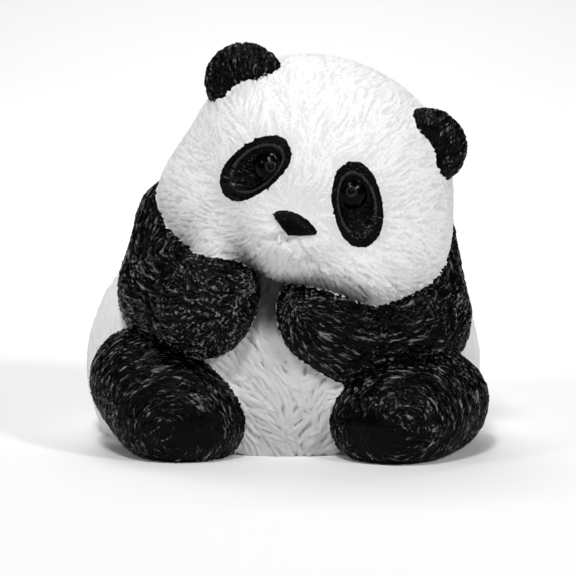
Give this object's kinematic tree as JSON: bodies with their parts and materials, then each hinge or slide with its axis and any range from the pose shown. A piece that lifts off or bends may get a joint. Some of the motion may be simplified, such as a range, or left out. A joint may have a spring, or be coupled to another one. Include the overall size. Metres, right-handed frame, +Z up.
{
  "type": "panda figurine",
  "caption": "Seated panda figurine with a tilted head, folded arms and carved fur, painted black and white, standing on a flat underside.",
  "frame": {"origin": "middle of the figure's box at the height of its flat underside", "axes": "+Z up, -Y the way the panda faces, +X to the right as a viewer in front of it sees it"},
  "size_m": [0.1014, 0.0888, 0.1003],
  "materials": {
    "paint": "matt white paint with gloss black paint on ears, eye patches, nose, arms and legs"
  },
  "bodies": {
    "root": {"panda_figurine": "paint"}
  },
  "joints": []
}
